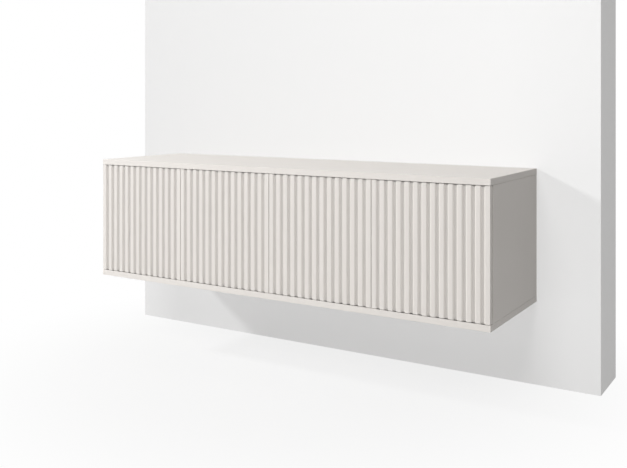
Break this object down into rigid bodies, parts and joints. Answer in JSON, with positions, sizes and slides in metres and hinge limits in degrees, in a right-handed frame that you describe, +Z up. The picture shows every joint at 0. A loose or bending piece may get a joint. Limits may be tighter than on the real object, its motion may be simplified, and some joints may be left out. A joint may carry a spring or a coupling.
{
  "type": "tv cabinet",
  "caption": "Long low wall-hung tv cabinet with handleless door leaves in milled upright grooves, on concealed hinges, with shelves inside.",
  "frame": {"origin": "centre of the cabinet's underside, below the middle of its width and depth", "axes": "+X to the right along the front, +Y towards the wall, +Z up"},
  "size_m": [1.4, 0.4, 0.4],
  "materials": {
    "door_lacquer": "warm off-white matt lacquer on milled board",
    "board_lacquer": "warm off-white matt melamine and lacquer",
    "hardboard": "painted hardboard",
    "hinge_steel": "nickel-plated pressed steel",
    "zinc_steel": "zinc-plated steel",
    "grey_plastic": "moulded grey plastic",
    "white_plastic": "moulded white plastic"
  },
  "bodies": {
    "cabinet": {"top_board": "board_lacquer", "bottom_board": "board_lacquer", "left_side": "board_lacquer", "right_side": "board_lacquer", "centre_partition": "board_lacquer", "back_board": "hardboard", "left_shelf": "board_lacquer", "right_shelf": "board_lacquer", "wall_rail": "zinc_steel", "left_hanger": "white_plastic", "right_hanger": "white_plastic", "left_hanger_hook": "zinc_steel", "right_hanger_hook": "zinc_steel", "door_1_latch": "grey_plastic", "door_1_lower_arm": "hinge_steel", "door_1_upper_arm": "hinge_steel", "door_2_latch": "grey_plastic", "door_2_lower_arm": "hinge_steel", "door_2_upper_arm": "hinge_steel", "door_3_latch": "grey_plastic", "door_3_lower_arm": "hinge_steel", "door_3_upper_arm": "hinge_steel", "door_4_latch": "grey_plastic", "door_4_lower_arm": "hinge_steel", "door_4_upper_arm": "hinge_steel"},
    "door_1_outer_links": {"door_1_lower_outer_link": "hinge_steel", "door_1_upper_outer_link": "hinge_steel"},
    "door_1_inner_links": {"door_1_lower_inner_link": "hinge_steel", "door_1_upper_inner_link": "hinge_steel"},
    "door_1_leaf": {"door_1": "door_lacquer", "door_1_lower_cup": "hinge_steel", "door_1_upper_cup": "hinge_steel"},
    "door_1_plunger": {"door_1_plunger": "white_plastic"},
    "door_2_outer_links": {"door_2_lower_outer_link": "hinge_steel", "door_2_upper_outer_link": "hinge_steel"},
    "door_2_inner_links": {"door_2_lower_inner_link": "hinge_steel", "door_2_upper_inner_link": "hinge_steel"},
    "door_2_leaf": {"door_2": "door_lacquer", "door_2_lower_cup": "hinge_steel", "door_2_upper_cup": "hinge_steel"},
    "door_2_plunger": {"door_2_plunger": "white_plastic"},
    "door_3_outer_links": {"door_3_lower_outer_link": "hinge_steel", "door_3_upper_outer_link": "hinge_steel"},
    "door_3_inner_links": {"door_3_lower_inner_link": "hinge_steel", "door_3_upper_inner_link": "hinge_steel"},
    "door_3_leaf": {"door_3": "door_lacquer", "door_3_lower_cup": "hinge_steel", "door_3_upper_cup": "hinge_steel"},
    "door_3_plunger": {"door_3_plunger": "white_plastic"},
    "door_4_outer_links": {"door_4_lower_outer_link": "hinge_steel", "door_4_upper_outer_link": "hinge_steel"},
    "door_4_inner_links": {"door_4_lower_inner_link": "hinge_steel", "door_4_upper_inner_link": "hinge_steel"},
    "door_4_leaf": {"door_4": "door_lacquer", "door_4_lower_cup": "hinge_steel", "door_4_upper_cup": "hinge_steel"},
    "door_4_plunger": {"door_4_plunger": "white_plastic"}
  },
  "joints": [
    {"name": "door_1_outer_link_pivot", "type": "hinge", "parent": "cabinet", "child": "door_1_outer_links", "pos_m": [-0.6735, -0.166, 0.2], "axis": [0, 0, -1], "range_deg": [-28, 0]},
    {"name": "door_1_hinge", "type": "hinge", "parent": "door_1_outer_links", "child": "door_1_leaf", "pos_m": [-0.6898, -0.189, 0.2], "axis": [0, 0, -1], "range_deg": [0, 117.9]},
    {"name": "door_1_inner_link_pivot", "type": "hinge", "parent": "cabinet", "child": "door_1_inner_links", "pos_m": [-0.6651, -0.1767, 0.2], "axis": [0, 0, -1], "range_deg": [-33.4, 0]},
    {"name": "door_1_latch_plunger", "type": "slide", "parent": "cabinet", "child": "door_1_plunger", "axis": [0, -1, 0], "range_m": [0, 0.0121]},
    {"name": "door_2_outer_link_pivot", "type": "hinge", "parent": "cabinet", "child": "door_2_outer_links", "pos_m": [-0.0265, -0.166, 0.2], "axis": [0, 0, 1], "range_deg": [-28, 0]},
    {"name": "door_2_hinge", "type": "hinge", "parent": "door_2_outer_links", "child": "door_2_leaf", "pos_m": [-0.0102, -0.189, 0.2], "axis": [0, 0, 1], "range_deg": [0, 117.9]},
    {"name": "door_2_inner_link_pivot", "type": "hinge", "parent": "cabinet", "child": "door_2_inner_links", "pos_m": [-0.0349, -0.1767, 0.2], "axis": [0, 0, 1], "range_deg": [-33.4, 0]},
    {"name": "door_2_latch_plunger", "type": "slide", "parent": "cabinet", "child": "door_2_plunger", "axis": [0, -1, 0], "range_m": [0, 0.0121]},
    {"name": "door_3_outer_link_pivot", "type": "hinge", "parent": "cabinet", "child": "door_3_outer_links", "pos_m": [0.0265, -0.166, 0.2], "axis": [0, 0, -1], "range_deg": [-28, 0]},
    {"name": "door_3_hinge", "type": "hinge", "parent": "door_3_outer_links", "child": "door_3_leaf", "pos_m": [0.0102, -0.189, 0.2], "axis": [0, 0, -1], "range_deg": [0, 117.9]},
    {"name": "door_3_inner_link_pivot", "type": "hinge", "parent": "cabinet", "child": "door_3_inner_links", "pos_m": [0.0349, -0.1767, 0.2], "axis": [0, 0, -1], "range_deg": [-33.4, 0]},
    {"name": "door_3_latch_plunger", "type": "slide", "parent": "cabinet", "child": "door_3_plunger", "axis": [0, -1, 0], "range_m": [0, 0.0121]},
    {"name": "door_4_outer_link_pivot", "type": "hinge", "parent": "cabinet", "child": "door_4_outer_links", "pos_m": [0.6735, -0.166, 0.2], "axis": [0, 0, 1], "range_deg": [-28, 0]},
    {"name": "door_4_hinge", "type": "hinge", "parent": "door_4_outer_links", "child": "door_4_leaf", "pos_m": [0.6898, -0.189, 0.2], "axis": [0, 0, 1], "range_deg": [0, 117.9]},
    {"name": "door_4_inner_link_pivot", "type": "hinge", "parent": "cabinet", "child": "door_4_inner_links", "pos_m": [0.6651, -0.1767, 0.2], "axis": [0, 0, 1], "range_deg": [-33.4, 0]},
    {"name": "door_4_latch_plunger", "type": "slide", "parent": "cabinet", "child": "door_4_plunger", "axis": [0, -1, 0], "range_m": [0, 0.0121]}
  ],
  "couplings": [
    {"joint": "door_1_outer_link_pivot", "follows": "door_1_hinge", "ratio": -0.23664},
    {"joint": "door_1_inner_link_pivot", "follows": "door_1_hinge", "ratio": -0.28244},
    {"joint": "door_1_latch_plunger", "follows": "door_1_hinge", "m_per_rad": 0.005832},
    {"joint": "door_2_outer_link_pivot", "follows": "door_2_hinge", "ratio": -0.23664},
    {"joint": "door_2_inner_link_pivot", "follows": "door_2_hinge", "ratio": -0.28244},
    {"joint": "door_2_latch_plunger", "follows": "door_2_hinge", "m_per_rad": 0.005832},
    {"joint": "door_3_outer_link_pivot", "follows": "door_3_hinge", "ratio": -0.23664},
    {"joint": "door_3_inner_link_pivot", "follows": "door_3_hinge", "ratio": -0.28244},
    {"joint": "door_3_latch_plunger", "follows": "door_3_hinge", "m_per_rad": 0.005832},
    {"joint": "door_4_outer_link_pivot", "follows": "door_4_hinge", "ratio": -0.23664},
    {"joint": "door_4_inner_link_pivot", "follows": "door_4_hinge", "ratio": -0.28244},
    {"joint": "door_4_latch_plunger", "follows": "door_4_hinge", "m_per_rad": 0.005832}
  ]
}
